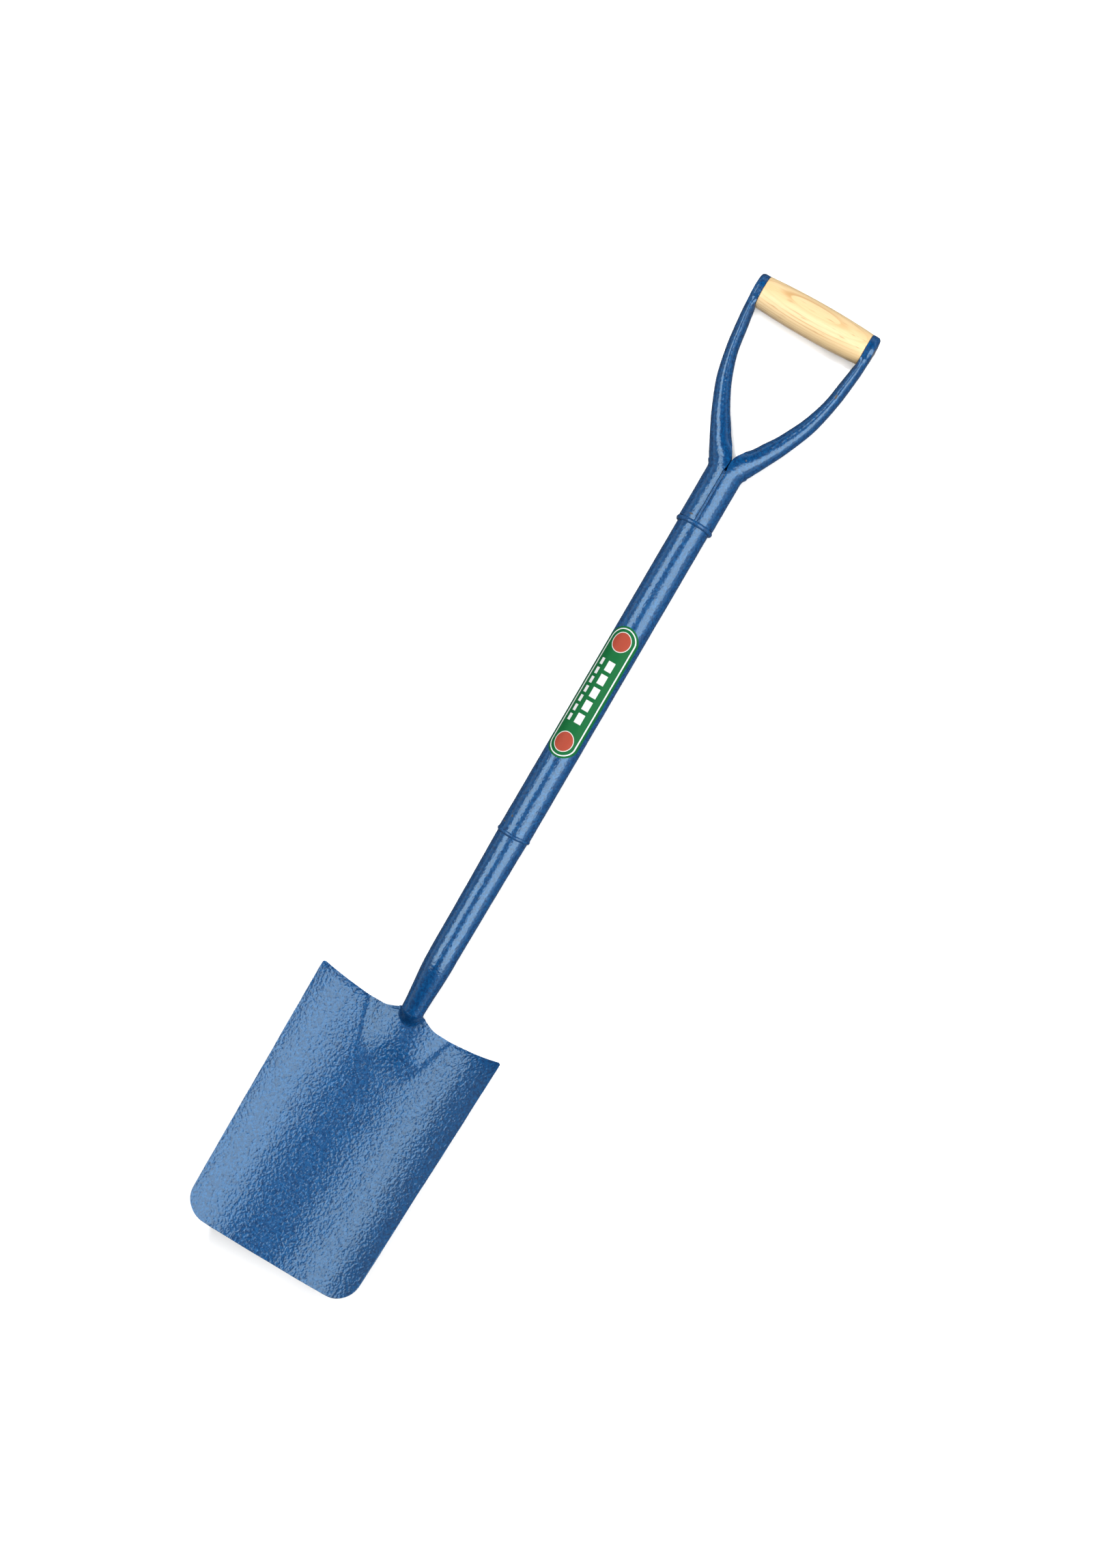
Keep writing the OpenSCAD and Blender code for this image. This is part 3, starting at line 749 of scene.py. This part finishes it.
def handle_half(name, side, material, node):
    """One half: solid in the ear, then a sheet that opens along the inside and ends as half a socket."""
    m = 72
    socket_x = ARM[-1][0]
    xs = [-EAR_R * math.cos(math.radians(a)) for a in range(0, 90, 5)]
    xs += [0.5 * i for i in range(0, 52)] + [26 + 1.2 * i for i in range(0, 117)]
    xs = [x for x in xs if x < socket_x] + [socket_x + 3.3 * i for i in range(15)] + [SOCKET_END]

    def row(x, inset):
        wrap = wrap_at(x)
        pts = [handle_point(x, mix(wrap, -wrap, j / m), inset) for j in range(m + 1)]
        return [(p.x, p.y * side, p.z) for p in pts]

    outer = [row(x, 0.0) for x in xs]
    cavity = [i for i, x in enumerate(xs) if x >= CAVITY_X]
    inner = [row(xs[i], HANDLE_WALL) for i in cavity]
    w = m + 1
    verts, faces = loft(outer, wrap=False, caps=(False, False))
    base, first = len(verts), cavity[0]
    inner_verts, inner_faces = loft(inner, wrap=False, caps=(False, False))
    verts += inner_verts
    faces += [tuple(base + k for k in q[::-1]) for q in inner_faces]
    for i in range(len(inner) - 1):
        for j in (0, m):
            a, b = (first + i) * w + j, (first + i + 1) * w + j
            faces.append((a, b, base + (i + 1) * w + j, base + i * w + j))
    end_o, end_i = (len(outer) - 1) * w, base + (len(inner) - 1) * w
    faces += [(end_o + j, end_o + j + 1, end_i + j + 1, end_i + j) for j in range(m)]
    faces.append(tuple(base + j for j in range(m)))
    return piece(name, (verts, faces), material, node,
                 relief=((12, 0.12),), sharp=48, bevel=0.3)


def seam_strip(name, face, material, node):
    """The weld between the halves of the socket: a low strip with a groove on each side."""
    rings = []
    x = CROTCH_X + 0.8
    while x < SOCKET_END + 1:
        w = 1.15 + 0.12 * math.sin(x * 1.7) * math.sin(x * 0.6)
        rise = (0.45 if x > CROTCH_X + 2 else 0.1) + 0.08 * math.sin(x * 1.1)
        shape = [(-w, -2.2), (-w, -0.1), (-w * 0.9, rise * 0.55), (-w * 0.55, rise * 0.92), (0, rise),
                 (w * 0.55, rise * 0.92), (w * 0.9, rise * 0.55), (w, -0.1), (w, -2.2)]
        rings.append([(x, v, face * (SOCKET_R + h)) for v, h in shape])
        x += 1.1
    return piece(name, loft(rings), material, node, sharp=60)


def grip(material):
    profile = [(-GRIP_HALF - TENON_LEN, 3.1), (-GRIP_HALF - TENON_LEN, TENON_R), (-GRIP_HALF, TENON_R),
               (-GRIP_HALF, GRIP_END_R - 0.7), (-GRIP_HALF + 0.25, GRIP_END_R - 0.2)]
    steps = 60
    for i in range(steps + 1):
        f = 2 * i / steps - 1
        profile.append((f * (GRIP_HALF - 0.8), mix(GRIP_MID_R, GRIP_END_R, f * f)))
    profile += [(-x, r) for x, r in profile[4::-1]]
    rings = []
    for v, r in profile:
        rings.append([(r * math.cos(2 * math.pi * i / 120), v, r * math.sin(2 * math.pi * i / 120))
                      for i in range(120)])
    rings.append(rings[0])
    return piece("grip_barrel", loft(rings, caps=(False, False)), material, "grip",
                 relief=((30, 0.06),), sharp=50)


def rivet_head(name, side, material, node):
    head_r, head_h, n = 4.6, 0.9, 40
    rings = []
    for a in (0, 12, 25, 40, 55, 70, 82, 90):
        r = head_r * math.cos(math.radians(a)) + 0.02
        y = EAR_OUT - 0.25 + (head_h + 0.2) * math.sin(math.radians(a))
        rings.append([(r * math.cos(2 * math.pi * i / n), side * y, r * math.sin(2 * math.pi * i / n))
                      for i in range(n)])
    return piece(name, loft(rings), material, node, relief=((2.5, 0.12),), sharp=60)


# ---------------------------------------------------------------- studio


def camera():
    """Straight over the tool, a little to its right, turned so that the handle is at the upper right."""
    side_lean, end_lean, roll = math.radians(4.31), math.radians(-0.74), math.radians(30.18)
    distance, tall = 2.791, 1.4304
    right = Vector((0, math.cos(side_lean), -math.sin(side_lean)))
    back = Vector((math.sin(end_lean), math.sin(side_lean) * math.cos(end_lean),
                   math.cos(side_lean) * math.cos(end_lean)))
    up = back.cross(right)
    target = Vector((0, 0, 0.025)) + right * 0.0078 + up * 0.0002
    cam_right = right * math.cos(roll) + up * math.sin(roll)
    cam_up = up * math.cos(roll) - right * math.sin(roll)
    data = bpy.data.cameras.new("camera")
    data.sensor_width = 36.0
    data.lens = data.sensor_width * distance / tall
    data.clip_start, data.clip_end = 0.05, 100.0
    obj = bpy.data.objects.new("camera", data)
    turn = Matrix((cam_right, cam_up, back)).transposed().to_4x4()
    obj.matrix_world = Matrix.Translation(target + back * distance) @ turn
    bpy.context.scene.collection.objects.link(obj)
    bpy.context.scene.camera = obj
    return right, up, back


def softbox(name, axes, angle, distance, size, power, along_x):
    """A rectangular soft light at the angle from overhead, towards the tool's right side."""
    right, up, back = axes
    q = math.radians(angle)
    aim = (back * math.cos(q) + right * math.sin(q)).normalized()
    data = bpy.data.lights.new(name, "AREA")
    data.shape, data.size, data.size_y = "RECTANGLE", size[0], size[1]
    data.energy = power
    obj = bpy.data.objects.new(name, data)
    across = up.cross(aim).normalized()
    turn = Matrix((across, up, aim)).transposed().to_4x4()
    obj.matrix_world = Matrix.Translation(aim * distance - up * along_x) @ turn
    bpy.context.scene.collection.objects.link(obj)
    return obj


def studio(axes):
    mesh = bpy.data.meshes.new("floor")
    bm = bmesh.new()
    bmesh.ops.create_grid(bm, x_segments=8, y_segments=8, size=30)
    bm.to_mesh(mesh)
    bm.free()
    floor = bpy.data.objects.new("floor", mesh)
    floor.location.z = cad_box[0].z - 0.0002
    floor.visible_glossy = False
    mesh.materials.append(floor_paper("floor_paper"))
    bpy.context.scene.collection.objects.link(floor)
    # Two bright panels draw the long highlights; the wider lamps only light the colours and the floor
    for name, angle, width, power in (("panel_right", 38, 1.3, 33), ("panel_left", -36.5, 0.88, 24)):
        panel = softbox(name, axes, angle, 1.5, (width, 1.8), power, along_x=0.05)
        panel.visible_diffuse = False
    for name, angle, size, power, along_x in (("key", -22, 0.35, 105, -1.2), ("top", 2, 2.4, 135, -0.3),
                                              ("fill_right", 55, 2.0, 95, 0.0)):
        lamp = softbox(name, axes, angle, 3.4, (size, size), power, along_x=along_x)
        lamp.visible_glossy = False
    world = bpy.data.worlds.new("studio")
    bpy.context.scene.world = world
    world.use_nodes = True
    nodes, links = world.node_tree.nodes, world.node_tree.links
    nodes.clear()
    place = nodes.new("ShaderNodeTexCoord")
    sep = nodes.new("ShaderNodeSeparateXYZ")
    links.new(place.outputs["Generated"], sep.inputs[0])
    # Pale near the horizon, dim overhead, and dim below it so that the tubes keep dark edges
    levels = []
    for values in ((0.1, 0.6, 0.95, 0.05), (-0.06, -0.02, 0.17, 1.0)):
        level = nodes.new("ShaderNodeMapRange")
        links.new(sep.outputs[2], level.inputs[0])
        for socket, value in zip(level.inputs[1:5], values):
            socket.default_value = value
        levels.append(level.outputs[0])
    both = nodes.new("ShaderNodeMath")
    both.operation = "MULTIPLY"
    links.new(levels[0], both.inputs[0])
    links.new(levels[1], both.inputs[1])
    shade = nodes.new("ShaderNodeBackground")
    shade.inputs["Color"].default_value = (0.95, 0.98, 1.0, 1)
    links.new(both.outputs[0], shade.inputs["Strength"])
    out = nodes.new("ShaderNodeOutputWorld")
    links.new(shade.outputs[0], out.inputs[0])
    bpy.context.scene.view_settings.view_transform = "Standard"


# Small chips in the enamel, each (place in the tool's frame, radii in mm)
TUBE_CHIPS = (((529.0, -9.0, 13.1), (1.2, 1.2, 1.5)), ((536.5, -13.0, 9.1), (1.0, 1.0, 1.5)))
HANDLE_CHIPS = (((52.5, 53.2, 10.4), (2.6, 1.0, 2.0)), ((144.0, 12.0, 13.6), (0.8, 0.6, 2.0)),
                ((210.5, -7.0, 15.9), (0.8, 1.9, 1.5)))


def build():
    plate = enamel("enamel_plate", depth=1.15, satin=0.02)
    tube = enamel("enamel_tube", grain=1.15, depth=0.45, gloss=1.7, satin=0.01, chips=TUBE_CHIPS)
    sheet = enamel("enamel_sheet", grain=1.15, depth=0.42, gloss=1.7, satin=0.01, chips=HANDLE_CHIPS)
    weld = enamel("enamel_weld", grain=1.15, depth=0.7, satin=0.08)
    steel = bright_steel("bright_steel")
    blade(plate)
    neck(tube)
    neck_flare(weld)
    edge_bead(weld)
    bead_ring("lower_bead", weld, "lower_collar_weld", SHAFT_END - 3 + 1.2, low_r=NECK_TOP_R - 0.6,
              bead_r=2.6, centre_r=SHAFT_R - 1.85, bow=2.0, seed=3.0)
    shaft(tube)
    label(label_film("label_film"))
    bead_ring("upper_bead", weld, "upper_collar_weld", SOCKET_END + 2.9, low_r=SHAFT_R - 0.5,
              bead_r=2.7, centre_r=SHAFT_R - 0.25, bow=-1.0, seed=11.0)
    handle_half("handle_left", -1, sheet, "handle_half_left")
    handle_half("handle_right", 1, sheet, "handle_half_right")
    seam_strip("seam_front", 1, weld, "seam_weld_front")
    seam_strip("seam_back", -1, weld, "seam_weld_back")
    grip(wood("grip_wood"))
    rivet_head("rivet_left", -1, steel, "rivet_head_left")
    rivet_head("rivet_right", 1, steel, "rivet_head_right")
    # The rod is the CAD's own mesh, which only gets the steel
    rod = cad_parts["grip_rod"]
    rod.data.materials.clear()
    rod.data.materials.append(steel)


build()
studio(camera())
